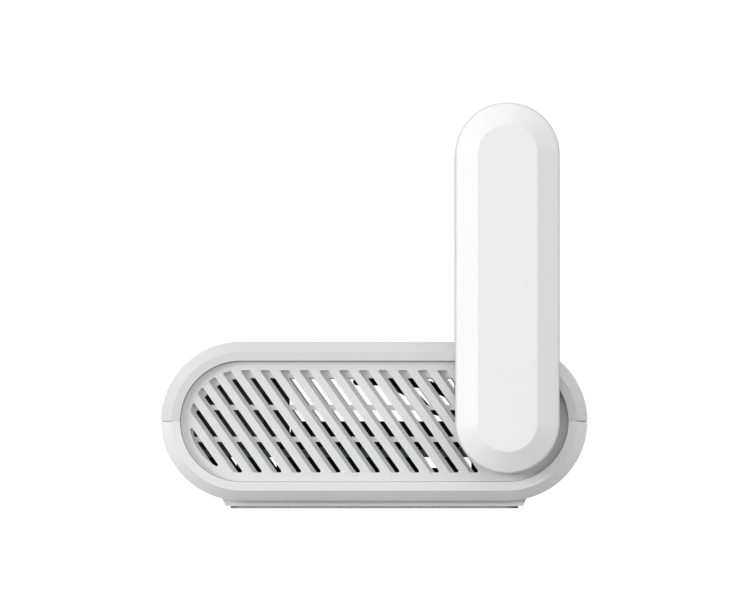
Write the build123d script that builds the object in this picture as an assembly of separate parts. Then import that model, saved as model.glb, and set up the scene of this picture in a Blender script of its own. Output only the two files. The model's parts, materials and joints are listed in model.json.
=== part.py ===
from build123d import *
import math
import os

# A small travel router. X runs from the socket end (-X) to the front end (+X), Y across the
# casing from one side grille to the other, Z up. The origin is under the middle, on the table.

# ---- driving dimensions, mm ----
END_X = 26.74  # from the middle to the centre of each rounded end
AXIS_Z = 17.44  # height of both rounded ends' centres, the parting line and the hinge axis
BODY_R = 15.9  # outside radius of the rounded ends
WALL = 2.0
INNER_R = BODY_R - WALL
RIM_Y = 50.0  # the flat rim that frames each side grille
RIM_R = 13.85  # where the outer bevel ends and the flat rim begins
GROOVE_T = 0.24  # the fine line where the two shells meet
GROOVE_END_DEPTH = 0.15
GROOVE_BEVEL_DEPTH = 0.6
GRILLE_R = 12.1  # the opening that a side grille sits in
GRILLE_GAP = 0.09
GRILLE_SAG = (0.02, -0.04)  # the panel rests against the lower edge of its opening
GRILLE_FACE_Y = 48.4
GRILLE_T = 2.2
GRILLE_BACK_Y = GRILLE_FACE_Y - GRILLE_T
LEDGE_T = 1.4
LEDGE_R = 11.1

SLOT_LEAN = math.radians(35.3)  # from upright, the top leaning to the socket end
SLOT_PITCH = 3.936
SLOT_W = 1.96  # measured along X
SLOT_LIP = 1.35  # depth of the full-width front of a slot, before the ledge
SLOT_LEDGE = 0.92  # how far the ledge stands in from one side of a slot
SLOT_FIRST_X = -34.43
SLOT_FIELD_R = 10.24
SLOT_CORNER_R = 0.28
SLOT_FIELD_LEDGE = (0.8, -1.6)  # the same ledge at the ends of the slots
SLOT_LEAST_AREA = 3.0  # smaller scraps beside the hinge are left solid
HUB_CLEAR_R = 10.3  # no slots this near the hinge axis
RIBS_Z = ((13.32, 14.36), (19.70, 20.72))

BOARD_Z = 10.24
BOARD_T = 1.6
BOARD_TOP = BOARD_Z + BOARD_T
BOARD_X = (-36.2, 24.4)
BOARD_Y = 43.0

PORT_FACE_X = -38.6
PORT_WINDOW = (43.0, 9.3)  # half width along Y, half height about the axis
JACK_FRONT = -38.4
JACK_SIZE = (21.3, 16.0, 14.3)
MAGNETICS_DEPTH = 5.1
JACKS = {"wan_jack": -33.0, "lan_jack": -9.0}
USB_A_Y = 8.2
USB_C_Y = 21.5
RESET_Y = 29.6
MODE_Y = 36.4
CONTROL_Z = 14.0
USB_C_Z = BOARD_TOP + 1.85
BUTTON_R = 1.3
RESET_TRAVEL = 0.4
MODE_KNOB = (4.3, 2.0, 1.8)
LED_X = 21.6
LED_Z = 22.0

CASE_SCREWS = ((-24.9, -21.0), (-24.9, 29.5), (27.4, -36.0), (27.4, 36.0))
BOARD_SCREWS = ((-31.5, -21.0), (-24.9, 38.4), (22.0, -30.0), (22.0, 30.0))
SINK_PINS = ((-12.0, -16.0), (-12.0, 16.0), (15.4, -16.0), (15.4, 16.0))
BOSS_R = 2.4
SCREW_R = 1.0

SINK_X = (-16.8, 19.0)
SINK_TOP = AXIS_Z
SINK_Y = 30.0
LOWER_SINK = (6.6, 8.0, 10.2)  # underside, top of the plate, top of the lands
LOWER_LANDS = ((-34.0, -30.4), (-27.6, -22.5), (-19.6, 9.2), (13.2, 17.6), (20.4, 21.4))
LOWER_POCKET = ((-8.0, 8.6), (-14.0, 14.0), 9.74)  # the thermal pad's seat in the widest land

HINGE_X = END_X - 0.12
HINGE_Z = AXIS_Z - 0.14
ANT_R = 10.45
ANT_LENGTH = 53.45  # hinge axis to the centre of the top end
ANT_IN_Y = 50.4
ANT_OUT_Y = 59.4
ANT_SPLIT_Y = 52.0
ANT_FLAT_R = 6.0
ANT_BEVEL_R = 10.02
ANT_BEVEL_DEPTH = 2.5
ANT_WALL = 1.3
HUB_R = 4.5
HUB_BORE_R = 2.6
HUB_FIT = 0.06
CLIP_Y = (-44.3, -43.7)
WASHER_Y = (-44.75, -44.35)
COAX_R = 0.75
SOCKET_X = 21.8
SOCKET_Y = 23.8

os.makedirs("parts", exist_ok=True)
node_names = []

# The slack each lead is laid with on its way over the upper sink; the far one is given as if
# it were on the near side too.
NEAR_RUN = (
    (HINGE_X - 1.0, -39.5, HINGE_Z + 0.6),
    (18.5, -35.5, 20.6),
    (11.5, -33.0, 25.2),
    (0.5, -30.0, 25.5),
    (-4.5, -23.5, 25.4),
    (-1.0, -15.5, 25.4),
    (8.5, -11.5, 25.3),
    (17.0, -12.0, 22.2),
    (SOCKET_X, -14.5, 17.0),
)
FAR_RUN = (
    (HINGE_X - 1.0, -39.5, HINGE_Z + 0.6),
    (17.5, -36.0, 18.9),
    (11.2, -32.5, 19.4),
    (8.6, -27.0, 22.4),
    (4.8, -20.5, 24.0),
    (4.0, -14.5, 25.1),
    (10.0, -12.0, 25.0),
    (17.5, -12.5, 21.6),
    (SOCKET_X, -14.5, 16.6),
)


def save(name, shape):
    """One STEP file per node."""
    node_names.append(name)
    solids = shape.solids()
    body = solids[0] if len(solids) == 1 else Compound(children=list(solids))
    body.label = name
    export_step(body, f"parts/{name}.step")


def block(x, y, z):
    """A box given by its three (low, high) spans."""
    size = (x[1] - x[0], y[1] - y[0], z[1] - z[0])
    centre = ((x[0] + x[1]) / 2, (y[0] + y[1]) / 2, (z[0] + z[1]) / 2)
    return Pos(*centre) * Box(*size)


def rod(x, y, z, radius):
    """An upright cylinder between the heights in z."""
    return Pos(x, y, (z[0] + z[1]) / 2) * Cylinder(radius, z[1] - z[0])


def side_plane(y):
    """A plane across Y at this y, with its local x along X and its local y up."""
    return Plane(origin=(0, y, AXIS_Z), x_dir=(1, 0, 0), z_dir=(0, -1, 0))


def stadium(radius):
    """The casing's side outline at this radius, about the hinge height."""
    return SlotCenterToCenter(2 * END_X, 2 * radius)


def at_hinge(outline):
    """An outline moved to the hinge axis."""
    return Pos(HINGE_X, HINGE_Z - AXIS_Z) * outline


def slab(outline, y):
    """An outline in the X and Z plane, made solid between two values of y."""
    return extrude(side_plane(y[1]) * outline, amount=y[1] - y[0])


def mirrored(shape):
    """The same piece on the far side."""
    return mirror(shape, about=Plane.XZ)


# ---- casing ----
def casing_block(radius, rim_radius, half):
    """A stadium bar across Y whose two ends are bevelled from radius in to rim_radius."""
    bevel = radius - rim_radius
    bar = slab(stadium(radius), (-half + bevel, half - bevel))
    for sign in (-1, 1):
        near = side_plane(sign * (half - bevel)) * stadium(radius)
        far = side_plane(sign * half) * stadium(rim_radius)
        bar += Solid(loft([near.faces()[0], far.faces()[0]]).wrapped)
    return bar


def parting_groove():
    """A fine groove at the parting line: shallow across the two ends, deeper across the bevels."""
    shallow_x = END_X + BODY_R - GROOVE_END_DEPTH
    deep_x = END_X + BODY_R - GROOVE_BEVEL_DEPTH
    bevel_y = RIM_Y - 2.9
    quarter = (
        (shallow_x, bevel_y - 0.8),
        (deep_x, bevel_y),
        (END_X + RIM_R - 0.4, RIM_Y),
    )
    front_left = list(quarter)
    back_left = [(-x, y) for x, y in reversed(quarter)]
    back_right = [(-x, -y) for x, y in quarter]
    front_right = [(x, -y) for x, y in reversed(quarter)]
    inner = Polyline(*front_left, *back_left, *back_right, *front_right, close=True)
    outer = Rectangle(2 * (END_X + BODY_R + 2), 2 * (RIM_Y + 2))
    ring = outer - make_face(inner)
    return extrude(Plane((0, 0, AXIS_Z - GROOVE_T / 2)) * ring, amount=GROOVE_T)


def make_casing():
    shell = casing_block(BODY_R, RIM_R, RIM_Y)
    shell -= slab(stadium(INNER_R), (-GRILLE_BACK_Y + LEDGE_T, GRILLE_BACK_Y - LEDGE_T))
    shell -= slab(stadium(LEDGE_R), (-RIM_Y - 1, RIM_Y + 1))
    for sign in (-1, 1):
        ends = sorted((sign * GRILLE_BACK_Y, sign * (RIM_Y + 1)))
        shell -= slab(stadium(GRILLE_R), ends)
    half_y, half_z = PORT_WINDOW
    shell -= block((-50, PORT_FACE_X + 2.2), (-half_y, half_y), (AXIS_Z - half_z, AXIS_Z + half_z))
    shell -= parting_groove()
    upper = shell & block((-60, 60), (-60, 60), (AXIS_Z, 60))
    lower = shell & block((-60, 60), (-60, 60), (-5, AXIS_Z))
    return upper, lower


def plinth():
    """The low foot of the lower shell: its sides taper in towards the table."""
    top, under = 3.0, 0.45
    profile = Polyline((-30.9, top), (30.9, top), (29.8, under), (-29.8, under), close=True)
    body = extrude(Plane.XZ * make_face(profile), amount=46, both=True)
    return body - slab(stadium(BODY_R - 0.6), (-60, 60))


def make_upper_shell(shell):
    for x, y in CASE_SCREWS:
        boss = rod(x, y, (AXIS_Z, AXIS_Z + BODY_R), BOSS_R) & slab(stadium(INNER_R + 0.8), (-49, 49))
        shell += boss
        shell -= rod(x, y, (AXIS_Z - 1, AXIS_Z + 7), SCREW_R)
    pipe_hole = Pos(END_X + 12, 0, LED_Z) * Rot(0, 90, 0) * Cylinder(1.5, 12)
    return shell - pipe_hole


def make_lower_shell(shell):
    shell += plinth()
    bosses = [(x, y, AXIS_Z) for x, y in CASE_SCREWS] + [(x, y, BOARD_Z) for x, y in BOARD_SCREWS]
    for x, y, top in bosses:
        boss = rod(x, y, (AXIS_Z - BODY_R, top), BOSS_R) & slab(stadium(INNER_R + 0.8), (-49, 49))
        shell += boss
    for x, y in CASE_SCREWS:
        shell -= rod(x, y, (-1, AXIS_Z + 1), SCREW_R + 0.15)
        shell -= rod(x, y, (-1, AXIS_Z - 8), SCREW_R + 1.1)
    for x, y in BOARD_SCREWS:
        shell -= rod(x, y, (BOARD_Z - 5, BOARD_Z + 1), SCREW_R)
    return shell


def make_foot_pad():
    outline = RectangleRounded(57.6, 91.6, 3)
    pad = extrude(outline, amount=0.45)
    for x, y in CASE_SCREWS:
        if abs(x) < 28:
            pad -= rod(x, y, (-1, 1), SCREW_R + 1.1)
    return pad


# ---- side grilles ----
def slot_strip(index):
    """One slanted strip right across the panel, with spare width on both sides."""
    x = SLOT_FIRST_X + SLOT_PITCH * index
    half = SLOT_W / 2
    tall = 14.0
    lean = math.tan(SLOT_LEAN) * tall
    top = ((x - half - lean, tall), (x + half - lean, tall))
    bottom = ((x + half + lean, -tall), (x - half + lean, -tall))
    return make_face(Polyline(*top, *bottom, close=True))


def slot_outlines(index):
    """The strip cut to the slot field, kept off the hinge, with rounded corners."""
    shape = slot_strip(index) & stadium(SLOT_FIELD_R)
    shape -= at_hinge(Circle(HUB_CLEAR_R))
    whole = [face for face in shape.faces() if face.area > SLOT_LEAST_AREA]
    return [offset(offset(face, -SLOT_CORNER_R), SLOT_CORNER_R) for face in whole]


def shared(first, second):
    """The one solid that two solids have in common."""
    return max(first.intersect(second), key=lambda solid: solid.volume)


def make_grille():
    """The near side panel: stepped slots, and two ribs flush with the ledges inside them."""
    face_y, back_y = -GRILLE_FACE_Y, -GRILLE_BACK_Y
    outline = Pos(*GRILLE_SAG) * stadium(GRILLE_R - GRILLE_GAP)
    panel = slab(outline, (face_y, back_y))
    lip = (face_y - 0.01, face_y + SLOT_LIP)
    throat = (face_y + SLOT_LIP - 0.01, back_y + 0.01)
    field = slab(Pos(*SLOT_FIELD_LEDGE) * stadium(SLOT_FIELD_R), throat).solid()
    for index in range(-1, 15):
        strip = slab(Pos(SLOT_LEDGE, 0) * slot_strip(index), throat).solid()
        for outline in slot_outlines(index):
            panel -= slab(outline, lip)
            panel -= shared(shared(slab(outline, throat).solid(), field), strip)
    for low, high in RIBS_Z:
        rib_end = END_X + math.sqrt(LEDGE_R**2 - 16)
        panel += block((-rib_end + 0.4, END_X - 8), (lip[1], back_y + 1.0), (low, high))
    panel += slab(at_hinge(Circle(8.6)), (back_y, back_y + LEDGE_T))
    return panel - slab(at_hinge(Circle(HUB_R + HUB_FIT)), (-60, -40))


# ---- socket end ----
def make_port_plate():
    half_y, half_z = PORT_WINDOW
    gap = 0.15
    front = (PORT_FACE_X, PORT_FACE_X + 1.4)
    flange = (PORT_FACE_X + 1.4, PORT_FACE_X + 2.1)
    tall = (AXIS_Z - half_z + gap, AXIS_Z + half_z - gap)
    plate = block(front, (-half_y + gap, half_y - gap), tall)
    plate += block(flange, (-half_y + gap, half_y - gap), tall)
    deep = (PORT_FACE_X - 1, PORT_FACE_X + 3)
    for y in JACKS.values():
        half = JACK_SIZE[1] / 2 + 0.1
        plate -= block(deep, (y - half, y + half), (BOARD_TOP - 0.1, BOARD_TOP + JACK_SIZE[2] + 0.1))
    plate -= block(deep, (USB_A_Y - 6.75, USB_A_Y + 6.75), (BOARD_TOP - 0.1, BOARD_TOP + 6.0))
    usb_c = Plane(origin=(deep[0], USB_C_Y, USB_C_Z), x_dir=(0, 1, 0), z_dir=(1, 0, 0))
    plate -= extrude(usb_c * SlotOverall(9.2, 3.5), amount=4)
    button = Plane(origin=(deep[0], RESET_Y, CONTROL_Z), x_dir=(0, 1, 0), z_dir=(1, 0, 0))
    plate -= extrude(button * Circle(BUTTON_R + 0.15), amount=4)
    mode = Plane(origin=(deep[0], MODE_Y + 1.0, CONTROL_Z), x_dir=(0, 1, 0), z_dir=(1, 0, 0))
    plate -= extrude(mode * Rectangle(MODE_KNOB[1] + 2.3, MODE_KNOB[2] + 0.3), amount=4)
    return chamfer(plate.edges().group_by(Axis.X)[0], 0.13)


def make_jack_magnetics(y):
    """The transformer block at the back of a network jack."""
    depth, width, height = JACK_SIZE
    x = (JACK_FRONT + depth - MAGNETICS_DEPTH, JACK_FRONT + depth)
    return block(x, (y - width / 2, y + width / 2), (BOARD_TOP, BOARD_TOP + height))


def make_jack_housing(y):
    """A network jack's housing, with a stepped mouth for the plug and its latch."""
    depth, width, height = JACK_SIZE
    x = (JACK_FRONT, JACK_FRONT + depth - MAGNETICS_DEPTH)
    body = block(x, (y - width / 2, y + width / 2), (BOARD_TOP, BOARD_TOP + height))
    floor = BOARD_TOP + 1.9
    mouth = (JACK_FRONT - 1, JACK_FRONT + 14.5)
    body -= block(mouth, (y - 5.95, y + 5.95), (floor, floor + 6.9))
    body -= block(mouth, (y - 3.2, y + 3.2), (floor + 6.8, floor + 9.2))
    return body


def make_jack_contacts(y):
    """Eight spring wires that rise from the floor of the mouth."""
    start_x = JACK_FRONT + 5.5
    floor = BOARD_TOP + 1.9
    profile = Polyline(
        (start_x, floor),
        (start_x + 9.0, floor + 2.2),
        (start_x + 9.0, floor + 2.6),
        (start_x + 0.4, floor + 0.5),
        close=True,
    )
    wires = []
    for index in range(8):
        wire_y = y + (index - 3.5) * 1.02
        plane = Plane(origin=(0, wire_y + 0.2, 0), x_dir=(1, 0, 0), z_dir=(0, -1, 0))
        wires.append(extrude(plane * make_face(profile), amount=0.4))
    return Compound(children=[wire.solid() for wire in wires])


def make_usb_a():
    x = (JACK_FRONT, JACK_FRONT + 14.0)
    z = (BOARD_TOP, BOARD_TOP + 5.8)
    shell = block(x, (USB_A_Y - 6.6, USB_A_Y + 6.6), z)
    shell -= block((x[0] - 1, x[1] - 1), (USB_A_Y - 6.25, USB_A_Y + 6.25), (z[0] + 0.35, z[1] - 0.35))
    tongue = block((x[0] + 0.6, x[1] - 1), (USB_A_Y - 5.55, USB_A_Y + 5.55), (z[1] - 2.6, z[1] - 0.8))
    tongue += block((x[1] - 3.0, x[1] - 1), (USB_A_Y - 6.2, USB_A_Y + 6.2), (z[0] + 0.4, z[1] - 0.4))
    return shell, tongue


def make_usb_c():
    start = Plane(origin=(JACK_FRONT, USB_C_Y, USB_C_Z), x_dir=(0, 1, 0), z_dir=(1, 0, 0))
    shell = extrude(start * SlotOverall(8.94, 3.26), amount=7.35)
    shell -= extrude(start * SlotOverall(8.34, 2.66), amount=6.6)
    across = (USB_C_Y - 3.2, USB_C_Y + 3.2)
    shell += block((JACK_FRONT + 2, JACK_FRONT + 7.35), across, (BOARD_TOP, USB_C_Z - 1.5))
    tongue = block((JACK_FRONT + 0.7, JACK_FRONT + 6.6), across, (USB_C_Z - 0.35, USB_C_Z + 0.35))
    return shell, tongue


def make_reset():
    """A round button on the port plate, and the side-press switch behind it."""
    plane = Plane(origin=(PORT_FACE_X - 0.4, RESET_Y, CONTROL_Z), x_dir=(0, 1, 0), z_dir=(1, 0, 0))
    length = 2.6
    button = extrude(plane * Circle(BUTTON_R), amount=length)
    flange = Plane(origin=(PORT_FACE_X + 2.2, RESET_Y, CONTROL_Z), x_dir=(0, 1, 0), z_dir=(1, 0, 0))
    button += extrude(flange * Circle(BUTTON_R + 0.5), amount=0.6)
    button = fillet(button.edges().group_by(Axis.X)[0], 0.3)
    back = PORT_FACE_X + 2.8 + RESET_TRAVEL + 0.05
    switch = block((back, back + 3.5), (RESET_Y - 2.2, RESET_Y + 2.2), (BOARD_TOP, BOARD_TOP + 3.4))
    return button, switch


def make_mode_switch():
    """A slide switch: its knob comes out through a slot in the port plate."""
    back = PORT_FACE_X + 2.6
    body = block((back, back + 3.6), (MODE_Y - 2.6, MODE_Y + 4.6), (BOARD_TOP, BOARD_TOP + 3.6))
    body -= block((back - 1, back + 1.2), (MODE_Y - 1.3, MODE_Y + 3.3), (CONTROL_Z - 1.1, CONTROL_Z + 1.1))
    knob = block(
        (back + 0.9 - MODE_KNOB[0], back + 0.9),
        (MODE_Y - MODE_KNOB[1] / 2, MODE_Y + MODE_KNOB[1] / 2),
        (CONTROL_Z - MODE_KNOB[2] / 2, CONTROL_Z + MODE_KNOB[2] / 2),
    )
    knob = fillet(knob.edges().group_by(Axis.X)[0], 0.25)
    return knob, body


# ---- electronics ----
def make_board():
    board = block(BOARD_X, (-BOARD_Y, BOARD_Y), (BOARD_Z, BOARD_TOP))
    for x, y in CASE_SCREWS:
        board -= rod(x, y, (0, 30), BOSS_R + 0.4)
    for x, y in BOARD_SCREWS:
        board -= rod(x, y, (0, 30), SCREW_R + 0.2)
    for x, y in SINK_PINS:
        board -= rod(x, y, (0, 30), 1.2)
    return board


def make_upper_sink():
    """A finned block; the fins run from end to end, so air crosses from socket end to front."""
    base = (14.0, 15.2)
    sink = block(SINK_X, (-SINK_Y, SINK_Y), base)
    count = 15
    for index in range(count):
        y = -SINK_Y + 0.5 + index * (2 * SINK_Y - 1.0) / (count - 1)
        sink += block(SINK_X, (y - 0.5, y + 0.5), (base[1], SINK_TOP))
    for sign in (-1, 1):
        y = sorted((sign * SINK_Y, sign * (SINK_Y - 1)))
        sink += block(SINK_X, y, (BOARD_TOP, base[0]))
    for x, y in SINK_PINS:
        sink -= rod(x, y, (0, 30), 1.2)
        sink -= rod(x, y, (base[1], 30), 2.2)
    return sink


def make_lower_sink():
    """A plate with raised lands; air passes between the lands under the board."""
    low, plate, top = LOWER_SINK
    sink = block((-34.0, 21.4), (-38, 38), (low, plate))
    for span in LOWER_LANDS:
        sink += block(span, (-38, 38), (plate, top))
    sink -= block(LOWER_POCKET[0], LOWER_POCKET[1], (LOWER_POCKET[2], BOARD_Z))
    for x, y in CASE_SCREWS + BOARD_SCREWS:
        sink -= rod(x, y, (0, 30), BOSS_R + 0.4)
    for x, y in SINK_PINS:
        sink -= rod(x, y, (0, 30), 1.2)
    return sink


def make_sink_pins():
    """Push pins that hold both sinks against the board."""
    pins = []
    for x, y in SINK_PINS:
        pin = rod(x, y, (LOWER_SINK[0] - 0.8, 16.0), 1.0)
        pin += rod(x, y, (15.2, 16.6), 1.9)
        pin += rod(x, y, (LOWER_SINK[0] - 0.8, LOWER_SINK[0]), 1.7)
        pins.append(pin.solid())
    return Compound(children=pins)


def make_chips():
    """The processor, the memory beside it, and the radio cans, all under the upper sink."""
    processor = block((-6, 8), (-7, 7), (BOARD_TOP, BOARD_TOP + 1.2))
    memory = []
    for y in (-12.2, 12.2):
        memory.append(block((-6, 6), (y - 4, y + 4), (BOARD_TOP, BOARD_TOP + 1.0)))
    cans = []
    for sign in (-1, 1):
        can = block((-8, 16), sorted((sign * 18.6, sign * 28)), (BOARD_TOP, BOARD_TOP + 1.9))
        can -= block((-7.8, 15.8), sorted((sign * 18.8, sign * 27.8)), (BOARD_TOP, BOARD_TOP + 1.7))
        cans.append(can)
    return processor, memory, cans


def make_screw(x, y, z, head_r, length, head_up):
    """A small pan-head screw with a cross recess; z is the underside of its head."""
    sign = 1 if head_up else -1
    screw = rod(x, y, sorted((z, z + sign * 1.2)), head_r)
    screw += rod(x, y, sorted((z + sign * 0.2, z - sign * length)), SCREW_R)
    recess = sorted((z + sign * 0.6, z + sign * 2))
    screw -= block((x - 0.9, x + 0.9), (y - 0.2, y + 0.2), recess)
    screw -= block((x - 0.2, x + 0.2), (y - 0.9, y + 0.9), recess)
    return screw.solid()


def make_light_pipe():
    """A clear L-shaped pipe from the light on the board to the front of the casing."""
    foot = rod(LED_X, 0, (BOARD_TOP + 1.0, LED_Z), 1.3)
    end_x = END_X + math.sqrt(BODY_R**2 - (LED_Z - AXIS_Z) ** 2) - 0.15
    arm = Pos((LED_X + end_x) / 2, 0, LED_Z) * Rot(0, 90, 0) * Cylinder(1.3, end_x - LED_X)
    elbow = Pos(LED_X, 0, LED_Z) * Sphere(1.3)
    return foot + arm + elbow


# ---- antennas (near side) ----
def antenna_outline(radius):
    """The antenna's outline, upright above the hinge axis."""
    upright = Rot(0, 0, 90) * SlotCenterToCenter(ANT_LENGTH, 2 * radius)
    return at_hinge(Pos(0, ANT_LENGTH / 2) * upright)


def antenna_bevel(radius, flat_radius, y):
    """A loft from the wide outline at y[0] to the flat outer face at y[1]."""
    near = side_plane(y[0]) * antenna_outline(radius)
    far = side_plane(y[1]) * antenna_outline(flat_radius)
    return Solid(loft([near.faces()[0], far.faces()[0]]).wrapped)


def make_antenna_cover():
    """The outer half: a bevelled shell with a rounded shoulder, open towards the casing."""
    shoulder_y = -(ANT_OUT_Y - ANT_BEVEL_DEPTH)
    edge = ANT_R - ANT_BEVEL_R
    cover = slab(antenna_outline(ANT_R), (shoulder_y + edge, -ANT_SPLIT_Y))
    cover += antenna_bevel(ANT_R, ANT_BEVEL_R, (shoulder_y + edge, shoulder_y))
    cover += antenna_bevel(ANT_BEVEL_R, ANT_FLAT_R, (shoulder_y, -ANT_OUT_Y))
    hollow_r = ANT_R - ANT_WALL
    cover -= slab(antenna_outline(hollow_r), (shoulder_y + 0.9, -ANT_SPLIT_Y + 1))
    cover -= antenna_bevel(hollow_r, ANT_FLAT_R - 0.9, (shoulder_y + 0.95, -ANT_OUT_Y + ANT_WALL))
    for z in (16.0, ANT_LENGTH - 4.0):
        post = at_hinge(Pos(0, z) * Circle(1.6))
        cover += slab(post, (-ANT_OUT_Y + 0.6, -ANT_SPLIT_Y - 1.0))
    return cover


def make_antenna_back():
    """The inner half, with the collar that turns in the casing's recess."""
    back = slab(antenna_outline(ANT_R - 0.1), (-ANT_SPLIT_Y, -ANT_IN_Y))
    back = chamfer(back.edges().group_by(Axis.Y)[-1], 0.35)
    back += slab(at_hinge(Circle(7.4)), (-ANT_IN_Y, -GRILLE_FACE_Y - 0.15))
    return back - slab(at_hinge(Circle(HUB_R)), (-60, -40))


def make_antenna_hub():
    """The hollow hinge pin: a head inside the antenna, and a groove for the clip inside the casing."""
    hub = slab(at_hinge(Circle(HUB_R)), (-ANT_SPLIT_Y, -43.0))
    hub += slab(at_hinge(Circle(6.4)), (-ANT_SPLIT_Y - 1.4, -ANT_SPLIT_Y))
    bore = slab(at_hinge(Circle(HUB_BORE_R)), (-60, -40))
    groove = slab(at_hinge(Circle(6) - Circle(3.9)), CLIP_Y)
    return hub - bore - groove


def make_hinge_washer():
    return slab(at_hinge(Circle(7.0) - Circle(HUB_R + 0.15)), WASHER_Y)


def make_hinge_clip():
    """An open snap ring in the hub's groove."""
    ring = Circle(6.0) - Circle(3.92) - Pos(5, 0) * Rectangle(6, 5)
    return slab(at_hinge(ring), (CLIP_Y[0] + 0.02, CLIP_Y[1] - 0.02))


def make_radiator():
    """The antenna's own circuit board, on the two posts of the cover."""
    tall = (HINGE_Z + 8.5, HINGE_Z + ANT_LENGTH + 3.5)
    return block((HINGE_X - 6.5, HINGE_X + 6.5), (-ANT_SPLIT_Y - 1.0, -ANT_SPLIT_Y - 0.2), tall)


def lead_path(points):
    """Straight runs joined by arcs, each as large as its two runs allow."""
    radii = []
    for before, here, after in zip(points, points[1:], points[2:]):
        back = Vector(*before) - Vector(*here)
        ahead = Vector(*after) - Vector(*here)
        turn = math.radians(180 - back.get_angle(ahead))
        radii.append(0.45 * min(back.length, ahead.length) / math.tan(turn / 2))
    print("lead radii", [round(radius, 1) for radius in radii])
    return FilletPolyline(*points, radius=radii)


def lead_points(run):
    """From inside the antenna through the hollow hinge, along the run, down to the board socket."""
    start = ((HINGE_X, -53.2, HINGE_Z), (HINGE_X, -46.0, HINGE_Z))
    end = ((SOCKET_X, -18.5, BOARD_TOP + 1.3), (SOCKET_X, 1.2 - SOCKET_Y, BOARD_TOP + 1.25))
    return (*start, *run, *end)


def make_tube(points, radius):
    path = lead_path(points)
    start = Plane(origin=path @ 0, z_dir=path % 0)
    tube = sweep(start * Circle(radius), path=path)
    print("lead volume", round(tube.volume, 2), "expected", round(path.length * math.pi * radius**2, 2))
    return tube


def make_coax_socket():
    x = (SOCKET_X - 1.3, SOCKET_X + 1.3)
    base = block(x, (-SOCKET_Y - 1.3, -SOCKET_Y + 1.3), (BOARD_TOP, BOARD_TOP + 0.6))
    return base + rod(SOCKET_X, -SOCKET_Y, (BOARD_TOP, BOARD_TOP + 2.1), 1.2)


def main():
    upper, lower = make_casing()
    save("upper_shell", make_upper_shell(upper))
    save("lower_shell", make_lower_shell(lower))
    save("foot_pad", make_foot_pad())
    grille = make_grille()
    save("side_grille_near", grille)
    save("side_grille_far", mirrored(grille))
    save("port_plate", make_port_plate())

    for name, y in JACKS.items():
        save(f"{name}_housing", make_jack_housing(y))
        save(f"{name}_magnetics", make_jack_magnetics(y))
        save(f"{name}_contacts", make_jack_contacts(y))
    usb_a_shell, usb_a_tongue = make_usb_a()
    save("usb_a_shell", usb_a_shell)
    save("usb_a_tongue", usb_a_tongue)
    usb_c_shell, usb_c_tongue = make_usb_c()
    save("usb_c_shell", usb_c_shell)
    save("usb_c_tongue", usb_c_tongue)
    button, reset_switch = make_reset()
    save("reset_button", button)
    save("reset_switch", reset_switch)
    knob, mode_switch = make_mode_switch()
    save("mode_knob", knob)
    save("mode_switch", mode_switch)

    save("main_board", make_board())
    save("upper_heat_sink", make_upper_sink())
    save("lower_heat_sink", make_lower_sink())
    save("heat_sink_pins", make_sink_pins())
    processor, memory, cans = make_chips()
    save("processor", processor)
    save("memory_chips", Compound(children=[chip.solid() for chip in memory]))
    save("radio_cans", Compound(children=[can.solid() for can in cans]))
    save("thermal_pad_upper", block((-5.5, 7.5), (-6.5, 6.5), (BOARD_TOP + 1.2, 14.0)))
    save("thermal_pad_lower", block(LOWER_POCKET[0], LOWER_POCKET[1], (LOWER_POCKET[2], BOARD_Z)))
    save("status_light", block((LED_X - 0.8, LED_X + 0.8), (-0.8, 0.8), (BOARD_TOP, BOARD_TOP + 0.8)))
    save("light_pipe", make_light_pipe())
    save("insulating_sheet", block((-19, 19), (-42, 42), (AXIS_Z - INNER_R, AXIS_Z - INNER_R + 0.2)))
    board_screws = [make_screw(x, y, BOARD_TOP, 1.9, 5.5, True) for x, y in BOARD_SCREWS]
    save("board_screws", Compound(children=board_screws))
    case_screws = [make_screw(x, y, AXIS_Z - 8, 1.9, 13.5, False) for x, y in CASE_SCREWS]
    save("case_screws", Compound(children=case_screws))

    antenna = {
        "antenna_cover": make_antenna_cover(),
        "antenna_back": make_antenna_back(),
        "antenna_hub": make_antenna_hub(),
        "hinge_washer": make_hinge_washer(),
        "hinge_clip": make_hinge_clip(),
        "antenna_radiator": make_radiator(),
        "antenna_socket": make_coax_socket(),
    }
    for name, shape in antenna.items():
        save(f"{name}_near", shape)
        save(f"{name}_far", mirrored(shape))
    save("antenna_lead_near", make_tube(lead_points(NEAR_RUN), COAX_R))
    save("antenna_lead_far", mirrored(make_tube(lead_points(FAR_RUN), COAX_R)))
    print(len(node_names), "nodes")


main()
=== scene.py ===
# %% [markdown]
# # A travel router, finished in Blender
#
# The router's parts arrive as a fixed frame: a casing of two moulded shells, two slotted side
# panels, the electronics behind them, and a flat antenna hinged at each side.
# This lesson gives every part its finish, swaps the antennas for finer surfaces, adds the small
# components that show through the slots, and lights the whole thing in an even white room.

# %% Load the frame
import json
import math

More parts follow.
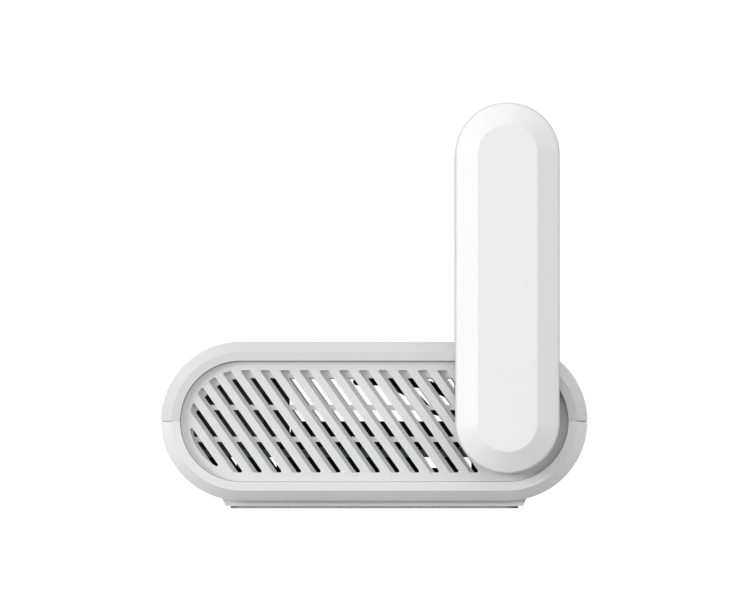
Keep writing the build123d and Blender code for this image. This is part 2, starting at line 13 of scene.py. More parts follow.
import bpy
import numpy as np
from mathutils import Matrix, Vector


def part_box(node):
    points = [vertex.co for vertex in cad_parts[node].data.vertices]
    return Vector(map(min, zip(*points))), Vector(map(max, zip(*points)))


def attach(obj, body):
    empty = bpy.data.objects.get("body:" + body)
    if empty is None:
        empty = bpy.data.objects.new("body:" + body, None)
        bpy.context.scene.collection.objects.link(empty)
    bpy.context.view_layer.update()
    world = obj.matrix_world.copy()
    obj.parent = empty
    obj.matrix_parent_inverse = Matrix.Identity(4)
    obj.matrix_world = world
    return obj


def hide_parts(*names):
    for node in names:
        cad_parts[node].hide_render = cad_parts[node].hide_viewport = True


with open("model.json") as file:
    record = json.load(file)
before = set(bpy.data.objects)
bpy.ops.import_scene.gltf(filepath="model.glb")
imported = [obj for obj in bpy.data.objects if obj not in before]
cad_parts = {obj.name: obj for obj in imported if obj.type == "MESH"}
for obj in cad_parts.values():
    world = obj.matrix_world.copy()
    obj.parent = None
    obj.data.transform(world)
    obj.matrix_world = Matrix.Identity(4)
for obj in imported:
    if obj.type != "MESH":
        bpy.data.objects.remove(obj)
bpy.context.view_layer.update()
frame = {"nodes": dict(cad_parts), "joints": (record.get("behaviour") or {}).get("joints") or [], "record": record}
nodes = frame["nodes"]
joints = {joint["name"]: joint for joint in frame["joints"]}
MM = 0.001

# %% [markdown]
# ## Camera
#
# The router is looked at square from its side, from so far away that you can see straight through
# both side panels. A short lens close by would shift the far slots away from the near ones.
# A long lens a few metres away keeps them in line, so that is what is set here. The lens stands
# level with the hinge axis and is tipped up by a quarter of a degree to take in the antenna.

# %% Camera
LENS = 1300.0
SENSOR = 36.0
VIEW_WIDTH = 150 * MM
CLIP_END = 100
STAND_X = 5 * MM
AIM_X = 0.14 * MM
AIM_Z = 41.70 * MM
hinge = Vector(joints["antenna_near_hinge"]["pos_m"])
rim_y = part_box("upper_shell")[0].y
camera_data = bpy.data.cameras.new("camera")
camera_data.lens = LENS
camera_data.sensor_width = SENSOR
camera_data.clip_end = CLIP_END
camera = bpy.data.objects.new("camera", camera_data)
bpy.context.scene.collection.objects.link(camera)
bpy.context.scene.camera = camera
look_at = Vector((AIM_X, rim_y, AIM_Z))
camera.location = (STAND_X, rim_y - VIEW_WIDTH * LENS / SENSOR, hinge.z)
camera.rotation_mode = "QUATERNION"
camera.rotation_quaternion = (look_at - camera.location).to_track_quat("-Z", "Y")
print("camera distance, m:", round((look_at - camera.location).length, 3))

# %% [markdown]
# ## White room
#
# White goods show their form best in a bright, even room. The room is the world colour. It is
# set a little brighter where it is seen directly than where it only lights the router, so the
# background comes out clean white while the white plastic keeps its shading.

# %% World
WHITE = (1, 1, 1, 1)
ROOM_LIGHT = 0.83
ROOM_SEEN = 1.05
scene = bpy.context.scene
scene.view_settings.view_transform = "Standard"
scene.view_settings.look = "None"
world = bpy.data.worlds.new("white_room")
scene.world = world
world.use_nodes = True
room = world.node_tree
room.nodes.clear()
world_out = room.nodes.new("ShaderNodeOutputWorld")
seen = room.nodes.new("ShaderNodeBackground")
lighting = room.nodes.new("ShaderNodeBackground")
pick = room.nodes.new("ShaderNodeMixShader")
light_path = room.nodes.new("ShaderNodeLightPath")
for background, strength in ((seen, ROOM_SEEN), (lighting, ROOM_LIGHT)):
    background.inputs["Color"].default_value = WHITE
    background.inputs["Strength"].default_value = strength
room.links.new(light_path.outputs["Is Camera Ray"], pick.inputs[0])
room.links.new(lighting.outputs[0], pick.inputs[1])
room.links.new(seen.outputs[0], pick.inputs[2])
room.links.new(pick.outputs[0], world_out.inputs[0])
print("room light:", ROOM_LIGHT, "seen as:", ROOM_SEEN)

# %% [markdown]
# ## Soft lights
#
# An even room alone would leave the bevels flat. One soft box well round to the left and a weaker
# one as far to the right give them their shape: an antenna's left bevel is its brightest face and
# the right bevel its darkest. Both boxes are square, low, and turned to face the router.

# %% Soft lights
BOX_TURN = math.radians(50)  # round from the view, to either side
BOX_REACH = 1.448
BOX_HEIGHT = 0.12
BOX_SIZE = 0.7
BOX_AIM = Vector((0, 0, 0.03))


def soft_box(name, side, watts):
    """A square area light on one side of the view, turned to face the router.

    It stands at the reach times the sine of the turn to that side, and the reach times the cosine
    of the turn towards the camera. side is -1 for the left and 1 for the right.
    """
    lamp = bpy.data.lights.new(name, "AREA")
    lamp.shape = "SQUARE"
    lamp.size = BOX_SIZE
    lamp.energy = watts
    holder = bpy.data.objects.new(name, lamp)
    scene.collection.objects.link(holder)
    across = side * BOX_REACH * math.sin(BOX_TURN)
    holder.location = (across, -BOX_REACH * math.cos(BOX_TURN), BOX_HEIGHT)
    holder.rotation_mode = "QUATERNION"
    holder.rotation_quaternion = (BOX_AIM - holder.location).to_track_quat("-Z", "Y")
    print(name, "watts:", watts)


soft_box("left_box", -1, 14.8)
soft_box("right_fill", 1, 3.7)

# %% [markdown]
# ## Starting a finish
#
# Every finish is worked out by nodes, on object coordinates, so it stays put as parts move. Each
# one starts as a Principled shader with its constant values on the shader's own sockets. Noise
# then moves the colour, the gloss or the bump a little, since no real surface is quite even.

# %% Helpers for finishes
RAMP_FROM = 0.35  # noise mostly stays in this middle band, so both tones are used
RAMP_TO = 0.65
finishes = {}


def new_material(name, colour, roughness, metallic=0.0, **sockets):
    """A Principled material; returns it with its node tree and shader."""
    material = bpy.data.materials.new(name)
    material.use_nodes = True
    shader = material.node_tree.nodes["Principled BSDF"]
    shader.inputs["Base Color"].default_value = (*colour, 1)
    shader.inputs["Roughness"].default_value = roughness
    shader.inputs["Metallic"].default_value = metallic
    for socket, value in sockets.items():
        shader.inputs[socket.replace("_", " ")].default_value = value
    return material, material.node_tree, shader


def object_noise(tree, scale, detail=3.0, stretch=(1, 1, 1)):
    """Noise on object coordinates, with an optional stretch along each axis."""
    place = tree.nodes.new("ShaderNodeTexCoord")
    mapping = tree.nodes.new("ShaderNodeMapping")
    noise = tree.nodes.new("ShaderNodeTexNoise")
    mapping.inputs["Scale"].default_value = stretch
    noise.inputs["Scale"].default_value = scale
    noise.inputs["Detail"].default_value = detail
    tree.links.new(place.outputs["Object"], mapping.inputs["Vector"])
    tree.links.new(mapping.outputs["Vector"], noise.inputs["Vector"])
    return noise.outputs["Fac"]


def add_bump(tree, shader, height, strength, distance):
    """Lets a 0 to 1 height tilt the shading, as if the surface rose by the distance."""
    bump = tree.nodes.new("ShaderNodeBump")
    bump.inputs["Strength"].default_value = strength
    bump.inputs["Distance"].default_value = distance
    tree.links.new(height, bump.inputs["Height"])
    tree.links.new(bump.outputs["Normal"], shader.inputs["Normal"])


def spread(tree, value, low, high):
    """Maps a 0 to 1 value on to the range low to high."""
    span = tree.nodes.new("ShaderNodeMapRange")
    span.inputs["To Min"].default_value = low
    span.inputs["To Max"].default_value = high
    tree.links.new(value, span.inputs["Value"])
    return span.outputs["Result"]


def vary_gloss(tree, shader, value, low, high):
    """Lets a 0 to 1 value move the roughness between low and high."""
    tree.links.new(spread(tree, value, low, high), shader.inputs["Roughness"])


def tint(tree, shader, value, dark, light):
    """Blends the base colour between two close tones."""
    ramp = tree.nodes.new("ShaderNodeValToRGB")
    ramp.color_ramp.elements[0].position = RAMP_FROM
    ramp.color_ramp.elements[0].color = (*dark, 1)
    ramp.color_ramp.elements[1].position = RAMP_TO
    ramp.color_ramp.elements[1].color = (*light, 1)
    tree.links.new(value, ramp.inputs["Fac"])
    tree.links.new(ramp.outputs["Color"], shader.inputs["Base Color"])


def grey(value):
    """A neutral colour."""
    return (value, value, value)


print("two tones meet between:", RAMP_FROM, "and", RAMP_TO)

# %% [markdown]
# ## Moulded plastic
#
# The casing and the antennas are white plastic moulded in spark-eroded steel, which leaves a fine
# satin grain. Fine noise drives the bump for that grain, and a much wider noise moves the tone and
# the gloss a little, as handling does. A stored grain map would do the same, but it would need
# laying out on each part, and noise on object coordinates needs none of that.

# %% Moulded plastic
GRAIN = 2600
DRIFT = 45
GRAIN_HEIGHT = 0.04 * MM


def moulded_plastic(name, tone, roughness=0.45, grain=0.12):
    """Moulded plastic: a fine grain in the bump and slow drifts of tone and gloss."""
    material, tree, shader = new_material(name, tone, roughness, Specular_IOR_Level=0.35)
    drift = object_noise(tree, DRIFT)
    add_bump(tree, shader, object_noise(tree, GRAIN, 2.0), grain, GRAIN_HEIGHT)
    vary_gloss(tree, shader, drift, roughness - 0.05, roughness + 0.07)
    tint(tree, shader, drift, [part * 0.985 for part in tone], tone)
    finishes[name] = material


moulded_plastic("casing_upper", grey(0.655))
moulded_plastic("casing_lower", grey(0.775))
moulded_plastic("grille", grey(0.73))
moulded_plastic("port_plate", (0.46, 0.46, 0.47), 0.5)
moulded_plastic("antenna_cover", grey(0.83), 0.40, 0.06)
# painted shade: the antenna's inner half gets a darker grey than its cover, though both are the same white
# plastic, to draw the dark line round the joint
moulded_plastic("antenna_back", grey(0.64))
moulded_plastic("hub_plastic", grey(0.55), 0.35)
moulded_plastic("button_grey", (0.18, 0.18, 0.19), 0.5)
print("moulded plastics:", sorted(finishes))

# %% [markdown]
# ## Plated metal
#
# Contacts, socket shells and screws are plated. Plating is smooth but never perfect: streaks from
# rolling and turning show in the gloss. So the metals keep one colour, and noise, stretched along
# one direction on the sheet metal, moves only the roughness and a very low bump.

# %% Plated metal
STREAKS = 900
STREAK_HEIGHT = 0.02 * MM


def plated_metal(name, tone, roughness, stretch=(1, 1, 1)):
    """Plated metal: streaks in the gloss, along one direction where it is rolled sheet."""
    material, tree, shader = new_material(name, tone, roughness, 1.0)
    streaks = object_noise(tree, STREAKS, 4.0, stretch)
    vary_gloss(tree, shader, streaks, roughness * 0.7, roughness * 1.4)
    add_bump(tree, shader, streaks, 0.15, STREAK_HEIGHT)
    finishes[name] = material


plated_metal("contact_gold", (0.85, 0.62, 0.25), 0.22)
plated_metal("socket_steel", (0.62, 0.61, 0.59), 0.28, (1, 12, 12))
plated_metal("screw_steel", (0.45, 0.45, 0.46), 0.30)
print("finishes so far:", len(finishes))

# %% [markdown]
# ## Speckled finishes
#
# Filled black plastics, chip packages, rubber and black anodised metal all have a fine speckle of
# two close tones. One helper makes them all, with the grain size, the gloss and the tones given.

# %% Speckled finishes
SPECKLE_HEIGHT = 0.03 * MM


def speckled(name, dark, light, scale, roughness, metallic=0.0):
    """A fine speckle between two tones; returns the node tree and shader to build on."""
    material, tree, shader = new_material(name, light, roughness, metallic)
    grains = object_noise(tree, scale, 4.0)
    tint(tree, shader, grains, dark, light)
    add_bump(tree, shader, grains, 0.2, SPECKLE_HEIGHT)
    finishes[name] = material
    return tree, shader


speckled("foot_rubber", grey(0.35), grey(0.41), 1500, 0.8)
speckled("jack_plastic", grey(0.14), grey(0.18), 1800, 0.5)
speckled("switch_black", grey(0.02), grey(0.035), 1800, 0.45)
speckled("tongue_black", grey(0.015), grey(0.025), 1800, 0.4)
speckled("usb_tongue", (0.012, 0.07, 0.30), (0.02, 0.10, 0.38), 1500, 0.4)
speckled("sink_black", grey(0.008), grey(0.016), 2200, 0.5, 0.4)
speckled("pin_plastic", grey(0.02), grey(0.035), 1800, 0.4)
speckled("chip_black", grey(0.012), grey(0.022), 2500, 0.55)
speckled("thermal_pad", (0.20, 0.28, 0.42), (0.26, 0.34, 0.48), 1200, 0.7)
speckled("insulating_film", grey(0.02), grey(0.03), 400, 0.2)
speckled("lead_black", grey(0.008), grey(0.014), 2500, 0.4)
print("finishes so far:", len(finishes))

# %% [markdown]
# ## Circuit board
#
# A circuit board has green resist on its faces and bare fibreglass at its sawn edge, a paler
# yellow-green with fine layers. Two materials on one part would need its faces sorted by hand.
# The object normal does that sorting instead: the size of its Z part is near one on the faces and
# near zero at the edge, so it picks between the two colours.

# %% Circuit board
LAYERS = 900
EDGE_DARK = (0.22, 0.30, 0.15, 1)
EDGE_LIGHT = (0.30, 0.38, 0.19, 1)
tree, shader = speckled("board_green", (0.022, 0.070, 0.026), (0.034, 0.100, 0.038), 700, 0.35)
resist = shader.inputs["Base Color"].links[0].from_socket
place = tree.nodes.new("ShaderNodeTexCoord")
axes = tree.nodes.new("ShaderNodeSeparateXYZ")
facing = tree.nodes.new("ShaderNodeMath")
facing.operation = "ABSOLUTE"
edge = tree.nodes.new("ShaderNodeValToRGB")
edge.color_ramp.elements[0].color = EDGE_DARK
edge.color_ramp.elements[1].color = EDGE_LIGHT
mix = tree.nodes.new("ShaderNodeMix")
mix.data_type = "RGBA"
tree.links.new(place.outputs["Normal"], axes.inputs[0])
tree.links.new(axes.outputs["Z"], facing.inputs[0])
tree.links.new(object_noise(tree, LAYERS, 2.0, (0.2, 0.2, 6)), edge.inputs["Fac"])
tree.links.new(facing.outputs[0], mix.inputs["Factor"])
tree.links.new(edge.outputs["Color"], mix.inputs["A"])
tree.links.new(resist, mix.inputs["B"])
tree.links.new(mix.outputs["Result"], shader.inputs["Base Color"])
print("nodes in the board's material:", len(tree.nodes))

# %% [markdown]
# ## Clear plastic
#
# The status light's lens and the pipe that carries its light to the casing are cast clear plastic.
# Light passes through most of it, and faint flow lines from casting show in its gloss.

# %% Clear plastic
FLOW_LINES = 320


def clear_plastic(name, tone, roughness, through):
    """Cast clear plastic: faint flow lines in the gloss and a slow drift of tone."""
    look = {"Transmission_Weight": through, "IOR": 1.49}
    material, tree, shader = new_material(name, tone, roughness, **look)
    flow = object_noise(tree, FLOW_LINES, 3.0, (0.2, 1, 1))
    vary_gloss(tree, shader, flow, roughness * 0.7, roughness * 1.5)
    tint(tree, shader, flow, [part * 0.95 for part in tone], tone)
    finishes[name] = material


clear_plastic("lamp_white", (0.9, 0.88, 0.75), 0.3, 0.2)
clear_plastic("light_pipe", (0.92, 0.93, 0.93), 0.12, 0.85)
print("finishes:", len(finishes))

# %% [markdown]
# ## Carried-over parts
#
# Most parts are right as they are, so they keep their shape and get a finish. Their meshes are
# loose triangles: a Weld modifier joins them, and a narrow Bevel rounds the moulded edges by
# about a tenth of a millimetre, which is what catches the light on real plastic. The triangles
# of a flat wall can be long and thin, so the bevel marks its own faces as weak and the normals
# follow the strong ones. Without that, a small bevel would pull a shadow right across the wall.

# %% Dress the carried-over parts
WELD_REACH = 0.002 * MM
BEVEL_LIMIT = math.radians(28)
SPLIT_LIMIT = math.radians(30)
SOFT_EDGES = {
    "upper_shell": 0.16,
    "lower_shell": 0.16,
    "side_grille_near": 0.10,
    "side_grille_far": 0.10,
    "foot_pad": 0.10,
    "wan_jack_housing": 0.15,
    "lan_jack_housing": 0.15,
    "wan_jack_magnetics": 0.25,
    "lan_jack_magnetics": 0.25,
    "usb_a_tongue": 0.10,
    "processor": 0.10,
    "memory_chips": 0.08,
    "mode_switch": 0.12,
    "reset_switch": 0.12,
}
slot_of = {row["node"]: row["material_slot"] for row in frame["record"]["subparts"]}


def soften(part, width):
    """Rounds the edges of a part by width in millimetres and keeps its flat faces flat."""
    bevel = part.modifiers.new("soft_edges", "BEVEL")
    bevel.width = width * MM
    bevel.segments = 2
    bevel.limit_method = "ANGLE"
    bevel.angle_limit = BEVEL_LIMIT
    bevel.face_strength_mode = "FSTR_ALL"
    even = part.modifiers.new("even_normals", "WEIGHTED_NORMAL")
    even.mode = "FACE_AREA"
    even.use_face_influence = True


def smooth_faces(mesh):
    """Turns on smooth shading for every face."""
    mesh.polygons.foreach_set("use_smooth", np.ones(len(mesh.polygons), bool))


def dress(node):
    """Gives one carried-over part its finish, smooth shading and softened edges."""
    part = nodes[node]
    part.data.materials.clear()
    part.data.materials.append(finishes[slot_of[node]])
    smooth_faces(part.data)
    weld = part.modifiers.new("weld", "WELD")
    weld.merge_threshold = WELD_REACH
    if node in SOFT_EDGES:
        soften(part, SOFT_EDGES[node])
    else:
        split = part.modifiers.new("crisp_edges", "EDGE_SPLIT")
        split.split_angle = SPLIT_LIMIT


for node in nodes:
    dress(node)
print("dressed:", len(nodes), "with soft edges:", len(SOFT_EDGES))

# %% [markdown]
# ## Rounded profiles
#
# A new piece is a grid of points: a profile carried round a closed path. Moulded profiles have no
# sharp corners, so the first helper takes a run of corners and puts an arc at each inner one.
# Curves drawn by hand would do too, but corners and radii are what a mould maker would be given.


# %% Rounded profiles
def rounded_profile(corners, radii, steps=6):
    """A run of corners in the plane with each inner corner replaced by an arc of its radius.

    For a corner with unit directions u and v to its neighbours, the arc starts at the radius
    over the tangent of half the angle along u, and its centre lies on the line half way between.
    """
    points = [np.array(corners[0], float)]
    for before, here, after, radius in zip(corners, corners[1:], corners[2:], radii):
        here = np.array(here, float)
        u = np.array(before, float) - here
        v = np.array(after, float) - here
        u /= np.linalg.norm(u)
        v /= np.linalg.norm(v)
        half = math.acos(float(np.clip(u @ v, -1, 1))) / 2
        reach = radius / math.tan(half)
        centre = here + (u + v) / np.linalg.norm(u + v) * radius / math.sin(half)
        start = here + u * reach - centre
        end = here + v * reach - centre
        share = np.linspace(0, 1, steps)[:, None]
        arc = start * (1 - share) + end * share
        arc *= radius / np.linalg.norm(arc, axis=1, keepdims=True)
        points.extend(centre + arc)
    points.append(np.array(corners[-1], float))
    return np.array(points)


print("points on one rounded corner:", len(rounded_profile([(1, 0), (0, 0), (0, 1)], [0.2])))

# %% [markdown]
# ## From a grid to a closed skin
#
# Where a row of the grid shrinks to a point or a line, its points are shared and the faces there
# lose a corner, so the piece comes out as one closed skin with no doubled points. The faces are
# then turned to point outwards, which the sign of the volume they enclose tells.

# %% Grids, skins and pieces
SAME_POINT = 1e-7  # metres


def grid_faces(points):
    """Shared points, four-cornered faces and three-cornered faces of a grid.

    The grid's columns close on themselves. Points that round to the same ten-thousandth of a
    millimetre count as one, and a face that has one such pair becomes a triangle.
    """
    flat = points.reshape(-1, 3)
    keys = np.round(flat / SAME_POINT).astype(np.int64)
    _, first, which = np.unique(keys, axis=0, return_index=True, return_inverse=True)
    index = which.reshape(points.shape[:2])
    across = np.roll(index, -1, axis=1)
    quads = np.stack((index[:-1], across[:-1], across[1:], index[1:]), -1).reshape(-1, 4)
    same = quads == np.roll(quads, -1, axis=1)
    whole = quads[same.sum(1) == 0]
    pinched = quads[same.sum(1) == 1]
    corners = pinched[~same[same.sum(1) == 1]].reshape(-1, 3)
    return flat[first], whole, corners


def outward(points, whole, corners):
    """Turns the faces over if the volume they enclose comes out negative.

    The volume is a sixth of the sum, over all triangles a, b, c, of a dot (b cross c).
    """
    halves = np.concatenate((whole[:, [0, 1, 2]], whole[:, [0, 2, 3]], corners))
    a, b, c = points[halves[:, 0]], points[halves[:, 1]], points[halves[:, 2]]
    volume = np.einsum("ij,ij->i", a, np.cross(b, c)).sum() / 6
    if volume < 0:
        return whole[:, ::-1], corners[:, ::-1], -volume
    return whole, corners, volume


def add_piece(name, points, whole, corners, slot, body):
    """One new object with its finish, riding on a body; prints its size and volume."""
    whole, corners, volume = outward(points, whole, corners)
    mesh = bpy.data.meshes.new(name)
    mesh.from_pydata(points.tolist(), [], whole.tolist() + corners.tolist())
    smooth_faces(mesh)
    mesh.materials.append(finishes[slot])
    piece = bpy.data.objects.new(name, mesh)
    scene.collection.objects.link(piece)
    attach(piece, body)
    size = np.round(np.ptp(points, axis=0) / MM, 2).tolist()
    print(name, "mm:", size, "mm3:", round(volume / MM**3, 1), "faces:", len(mesh.polygons))
    return piece


print("points count as one within, mm:", SAME_POINT / MM)

# %% [markdown]
# ## The path round an antenna
#
# Seen from the side, an antenna is a stadium: two half circles joined by straight sides. Every
# point of its outline is a point on the spine plus a distance in some direction, so one path of
# spine levels and directions serves for all outlines that keep the same distance from the spine.

# %% Stadium path
SIDES = {"near": -1, "far": 1}  # the sign of Y on each side of the router
ARC_STEPS = 40
RUN_STEPS = 12
cover_low, cover_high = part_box("antenna_cover_near")
INNER_HALF_R = (cover_high.x - cover_low.x) / 2
SPINE_TOP = cover_high.z - INNER_HALF_R
SPINE_FOOT = cover_low.z + INNER_HALF_R
OUT_Y = -cover_low.y
SPLIT_Y = -cover_high.y


def spine_x(name):
    """Where along X the spine of one antenna stands."""
    low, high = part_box(f"antenna_cover_{name}")
    return (low.x + high.x) / 2


def stadium_path():
    """Levels and outward directions round an upright stadium.

    The level is 0 at the foot of the spine and 1 at its top. The path goes up the right side,
    over the top arc, down the left side and round the bottom arc, and a direction is the cosine
    and sine of its angle.
    """
    rise = np.linspace(0, 1, RUN_STEPS, endpoint=False)
    turn = np.linspace(0, np.pi, ARC_STEPS, endpoint=False)
    levels = np.concatenate((rise, np.ones(ARC_STEPS), 1 - rise, np.zeros(ARC_STEPS)))
    angle = np.concatenate((np.zeros(RUN_STEPS), turn, np.full(RUN_STEPS, np.pi), turn + np.pi))
    return levels, np.stack((np.cos(angle), np.sin(angle)), -1)


levels, directions = stadium_path()
print("points round the stadium:", len(levels), "spine, mm:", round((SPINE_TOP - SPINE_FOOT) / MM, 2))

# %% [markdown]
# ## Antenna covers
#
# The outer half of each antenna is one injection moulding: a flat stadium face, a broad bevel all
# round it, a rounded shoulder and a short side wall that ends at the joint with the inner half.
# The profile below runs from the middle of the outer face, over the shoulder, round the lip and
# back along the inside to the middle, and it is carried round the stadium. Points at the same
# distance from the spine share its straight runs, so the bevel keeps one width all the way.

# %% Antenna covers
STAND_OUT = 0.21 * MM  # how far the inner half stands out past the cover
COVER_R = INNER_HALF_R - STAND_OUT
FLAT_R = 6.0 * MM
BEVEL_DEPTH = 2.77 * MM  # from the outer face back to the sharp corner that the shoulder rounds off
SKIN = 1.3 * MM
INSIDE_SHOULDER = 3.5 * MM
INSIDE_FLAT_R = 5.1 * MM
cover_corners = [
    (0, OUT_Y),
    (FLAT_R, OUT_Y),
    (COVER_R, OUT_Y - BEVEL_DEPTH),
    (COVER_R, SPLIT_Y),
    (COVER_R - SKIN, SPLIT_Y),
    (COVER_R - SKIN, OUT_Y - INSIDE_SHOULDER),
    (INSIDE_FLAT_R, OUT_Y - SKIN),
    (0, OUT_Y - SKIN),
]
cover_radii = np.array([0.6, 0.8, 0.18, 0.10, 0.3, 0.3]) * MM
cover_profile = rounded_profile(cover_corners, cover_radii, 7)


def cover_grid(name, side):
    """The cover profile's (distance, depth) pairs carried round the stadium.

    Each point is the spine point plus distance times direction in X and Z, and depth in Y.
    """
    spine_z = SPINE_FOOT + (SPINE_TOP - SPINE_FOOT) * levels
    distance, depth = cover_profile.T[:, :, None]
    x = spine_x(name) + distance * directions[:, 0]
    z = spine_z + distance * directions[:, 1]
    return np.stack((x, np.broadcast_to(side * depth, x.shape), z), -1)


for name, side in SIDES.items():
    surface = grid_faces(cover_grid(name, side))
    cover = add_piece(f"antenna_outer_{name}", *surface, "antenna_cover", f"antenna_{name}")
    cover.modifiers.new("even_normals", "WEIGHTED_NORMAL")
    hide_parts(f"antenna_cover_{name}")

# %% [markdown]
# ## Antenna inner halves
#
# The two halves of an antenna are not quite the same width: the inner half stands out by a fifth
# of a millimetre, which hides the joint from the front and draws a fine darker line round it. That
# line is partly real shade on the ledge and partly painted shade: the inner half is finished a
# darker grey than the cover, though both are the same white plastic.
#
# The inner half is a flat stadium plate with a round collar that turns in the casing's recess, and
# a bore through both for the hollow hinge pin. Stadium and circle meet on flat faces: the circle's
# points are set at the same angles about the hinge as the stadium's, so every face between the
# two is a clean quad. The rows go out over the rim, in to the collar, down the bore and back.

# %% Antenna inner halves
FACE_IN_Y = 50.4 * MM
COLLAR_Y = -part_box("antenna_back_near")[1].y
COLLAR_R = 7.4 * MM
BORE_R = 4.5 * MM
rim_corners = [
    (INNER_HALF_R - MM, SPLIT_Y),
    (INNER_HALF_R, SPLIT_Y),
    (INNER_HALF_R, FACE_IN_Y),
    (INNER_HALF_R - MM, FACE_IN_Y),
]
collar_corners = [
    (COLLAR_R + MM, FACE_IN_Y),
    (COLLAR_R, FACE_IN_Y),
    (COLLAR_R, COLLAR_Y),
    (BORE_R, COLLAR_Y),
    (BORE_R, SPLIT_Y),
    (BORE_R + MM, SPLIT_Y),
]
rim_profile = rounded_profile(rim_corners, np.array([0.08, 0.35]) * MM, 5)
collar_profile = rounded_profile(collar_corners, np.array([0.15, 0.2, 0.1, 0.1]) * MM, 5)


def inner_half_grid(name, side):
    """Stadium rows from the rim profile, then circle rows from the collar profile.

    A stadium point is the spine point plus distance times direction. A circle point is the hinge
    plus radius times the cosine and sine of that stadium point's angle about the hinge.
    """
    along = (SPINE_TOP - SPINE_FOOT) * levels
    angle = np.arctan2(along + INNER_HALF_R * directions[:, 1], INNER_HALF_R * directions[:, 0])
    around = np.stack((np.cos(angle), np.sin(angle)), -1)
    stadium_rows = rim_profile[:, 0][:, None, None] * directions + np.stack((0 * along, along), -1)
    circle_rows = collar_profile[:, 0][:, None, None] * around
    rows = np.concatenate((stadium_rows, circle_rows, stadium_rows[:1]))
    depth = np.concatenate((rim_profile[:, 1], collar_profile[:, 1], rim_profile[:1, 1]))
    y = np.broadcast_to(side * depth[:, None], rows.shape[:2])
    return np.stack((spine_x(name) + rows[..., 0], y, SPINE_FOOT + rows[..., 1]), -1)


for name, side in SIDES.items():
    surface = grid_faces(inner_half_grid(name, side))
    # the inner half's finish carries painted shade, a darker grey than the cover's
    plate = add_piece(f"antenna_inner_{name}", *surface, "antenna_back", f"antenna_{name}")
    plate.modifiers.new("even_normals", "WEIGHTED_NORMAL")
    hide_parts(f"antenna_back_{name}")

# %% [markdown]
# ## Sets of boxes
#
# Chip parts, coils and ridges are small blocks of one size, many at a time. Making each set one
# piece keeps the scene light, and one narrow bevel softens all its edges at once.

# %% Sets of boxes
CORNER_SIGNS = np.array([(x, y, z) for x in (-1, 1) for y in (-1, 1) for z in (-1, 1)], float)
BOX_SIDES = np.array([(0, 1, 3, 2), (4, 6, 7, 5), (0, 4, 5, 1), (2, 3, 7, 6), (0, 2, 6, 4), (1, 5, 7, 3)])


def add_boxes(name, centres, size, slot, body, edge):
    """Upright boxes of one size as one piece, with softened edges.

    Each box's corners are its centre plus or minus half of the size.
    """
    points = (centres[:, None] + CORNER_SIGNS * np.array(size) / 2).reshape(-1, 3)
    whole = (BOX_SIDES + 8 * np.arange(len(centres))[:, None, None]).reshape(-1, 4)
    boxes = add_piece(name, points, whole, np.zeros((0, 3), int), slot, body)
    soften(boxes, edge)


print("faces on a box:", len(BOX_SIDES))

# %% [markdown]
# ## Small parts on the board
#
# A board like this carries rows of chip resistors and capacitors, with bright solder ends, and a
# few black power inductors near the sockets. The chips are laid out in rows along the board's two
# long edges. Real ones don't stand in an even row, so each chip is moved a little along its row by
# a sine of its place, which looks uneven and still comes out the same every time.

# %% Chip parts
CHIP = np.array([1.6, 0.8, 0.5]) * MM
END_CAP = np.array([0.34, 0.84, 0.54]) * MM
ROW_X = np.arange(-11.0, 18.0, 2.6)
ROWS_Y = np.array([-40.6, -36.8, 36.8, 40.6])
board_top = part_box("main_board")[1].z


def on_board(x, y, height):
    """Centres of upright parts that stand on the board at x and y, both in millimetres."""
    return np.column_stack((x * MM, y * MM, np.full(len(x), board_top + height / 2)))


chip_x, chip_y = np.meshgrid(ROW_X, ROWS_Y)
chip_x += 0.5 * np.sin(chip_x * 2.1 + chip_y)
chip_at = on_board(chip_x.ravel(), chip_y.ravel(), CHIP[2])
add_boxes("chip_parts", chip_at, CHIP, "chip_black", "casing", 0.05)

# %% [markdown]
# ## Solder ends
#
# Each chip is soldered down by a bright metal cap at either end. A cap is a little wider and taller
# than its chip, so that it wraps round the end. The caps are one more set of boxes, and their
# places are worked out from the chips', so they follow if the rows are moved.

# %% Solder ends
cap_out = (CHIP[0] - END_CAP[0]) / 2 + 0.02 * MM
cap_up = (END_CAP[2] - CHIP[2]) / 2
right_ends = chip_at + np.array([cap_out, 0, cap_up])
left_ends = chip_at + np.array([-cap_out, 0, cap_up])
ends_at = np.concatenate((right_ends, left_ends))
add_boxes("solder_ends", ends_at, END_CAP, "socket_steel", "casing", 0.05)

# %% [markdown]
# ## Power inductors
#
# The power supply needs a few coils in black cast blocks. They are the largest of the small parts,
# and cast rather than pressed, so their edges get a wider bevel than the chips'.

# %% Power inductors
COIL = np.array([5.2, 5.2, 3.0]) * MM
coil_x, coil_y = np.array([(-20.6, 8.2), (-20.6, 15.4), (-14.0, 34.8), (-14.0, -34.8)]).T
add_boxes("power_inductors", on_board(coil_x, coil_y, COIL[2]), COIL, "switch_black", "casing", 0.4)

# %% [markdown]
# ## Lead plugs
#
# Each antenna lead ends in a tiny pressed connector that snaps over the round socket on the board:
# a low turned cap with a rolled lip. It is a profile turned about an upright axis, as on a lathe.

# %% Lead plugs
TURN_STEPS = 28
plug_corners = np.array([(0, 2.75), (1.62, 2.75), (1.62, 1.0), (1.28, 1.0), (1.28, 2.3), (0, 2.3)]) * MM
plug_profile = rounded_profile(plug_corners, np.array([0.3, 0.1, 0.05, 0.2]) * MM, 5)


def turned(profile, centre):
    """Grid of (radius, height) pairs turned about an upright axis through the centre.

    X and Y are the centre plus the radius times the cosine and sine of the angle turned through.
    """
    angle = np.linspace(0, 2 * np.pi, TURN_STEPS, endpoint=False)
    radius, height = profile.T[:, :, None]
    x = centre[0] + radius * np.cos(angle)
    y = centre[1] + radius * np.sin(angle)
    return np.stack((x, y, np.broadcast_to(centre[2] + height, x.shape)), -1)


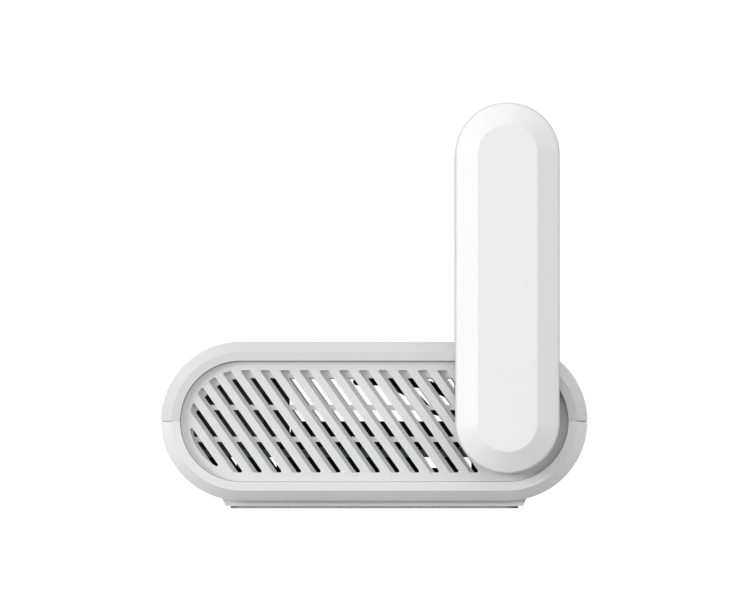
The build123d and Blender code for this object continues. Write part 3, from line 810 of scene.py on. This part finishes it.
for name in SIDES:
    low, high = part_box(f"antenna_socket_{name}")
    seat = ((low.x + high.x) / 2, (low.y + high.y) / 2, low.z)
    add_piece(f"lead_plug_{name}", *grid_faces(turned(plug_profile, seat)), "contact_gold", "casing")

# %% [markdown]
# ## Grip ridges on the mode knob
#
# The slide knob is small, so three ridges are moulded across its end to give a nail some purchase.

# %% Knob ridges
RIDGE = np.array([0.16, 0.20, 1.5]) * MM
RIDGE_PITCH = 0.55 * MM
RIDGE_RISE = 0.02 * MM
knob_low, knob_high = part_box("mode_knob")
ridge_y = (knob_low.y + knob_high.y) / 2 + np.array([-1, 0, 1]) * RIDGE_PITCH
ridge_z = (knob_low.z + knob_high.z) / 2
ridge_at = np.array([(knob_low.x - RIDGE_RISE, y, ridge_z) for y in ridge_y])
add_boxes("knob_ridges", ridge_at, RIDGE, "button_grey", "mode_key", 0.05)

# %% [markdown]
# ## Cheeks beside the port plate
#
# The port plate is set back behind the curved end of the casing. At each end of the window a thin
# cheek runs forward from the plate to the inside of the shell, so nobody can look past the plate.
# On the real thing it would be moulded with the plate. Its outline is a slice of the casing's own
# round section, cut off by a straight line behind the plate: one arc and one chord are enough.

# %% Port cheeks
CHEEK_T = MM
CHEEK_GAP = 0.2 * MM
INTO_WALL = 1.5 * MM  # from the casing's outside to the cheek's edge, half a millimetre into the wall
PAST_PLATE = 0.4 * MM
BEHIND_FACE = 1.5 * MM
plate_low, plate_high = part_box("port_plate")
shell_low, shell_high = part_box("upper_shell")
body_r = shell_high.z - shell_low.z


def cheek_outline(radius, half_height, back_x, steps=24):
    """Closed outline in X and Z: an arc about the casing's axis, closed behind the plate.

    Each arc point is the axis minus radius times cosine along X, plus radius times sine along Z,
    between the two angles whose sine is the half height over the radius.
    """
    reach = math.asin(half_height / radius)
    angle = np.linspace(-reach, reach, steps)
    axis_x, axis_z = shell_low.x + body_r, shell_low.z
    arc = np.stack((axis_x - radius * np.cos(angle), axis_z + radius * np.sin(angle)), -1)
    back = np.array([(back_x, axis_z + half_height), (back_x, axis_z - half_height)])
    return np.concatenate((arc, back))


half_height = (plate_high.z - plate_low.z) / 2 + PAST_PLATE
outline = cheek_outline(body_r - INTO_WALL, half_height, plate_low.x + BEHIND_FACE)
middle = np.tile(outline.mean(0), (len(outline), 1))
rows = np.stack((middle, outline, outline, middle))
for name, side in SIDES.items():
    inner_y = plate_high.y + CHEEK_GAP
    depth = side * np.array([inner_y, inner_y, inner_y + CHEEK_T, inner_y + CHEEK_T])
    y = np.broadcast_to(depth[:, None], rows.shape[:2])
    surface = grid_faces(np.stack((rows[..., 0], y, rows[..., 1]), -1))
    cheek = add_piece(f"port_cheek_{name}", *surface, "port_plate", "casing")
    soften(cheek, 0.08)

# %% [markdown]
# ## Floor
#
# The floor is one flat pale sheet under the router, bright enough to lose its edge against the
# white of the room. It isn't part of the object, so it is staged.

# %% Floor
FLOOR_HALF = 6.0
FLOOR_TONE = 0.5
FLOOR_GLOW = 0.80
floor_mesh = bpy.data.meshes.new("floor")
floor_corners = [(x * FLOOR_HALF, y * FLOOR_HALF, 0) for x, y in ((-1, -1), (1, -1), (1, 1), (-1, 1))]
floor_mesh.from_pydata(floor_corners, [], [(0, 1, 2, 3)])
floor = bpy.data.objects.new("floor", floor_mesh)
scene.collection.objects.link(floor)
pale, pale_tree, pale_shader = new_material("pale_floor", grey(FLOOR_TONE), 0.8)
pale_path = pale_tree.nodes.new("ShaderNodeLightPath")
glow = spread(pale_tree, pale_path.outputs["Is Camera Ray"], 0.0, FLOOR_GLOW)
pale_shader.inputs["Emission Color"].default_value = WHITE
pale_tree.links.new(glow, pale_shader.inputs["Emission Strength"])
floor_mesh.materials.append(pale)
print("floor, m:", 2 * FLOOR_HALF)
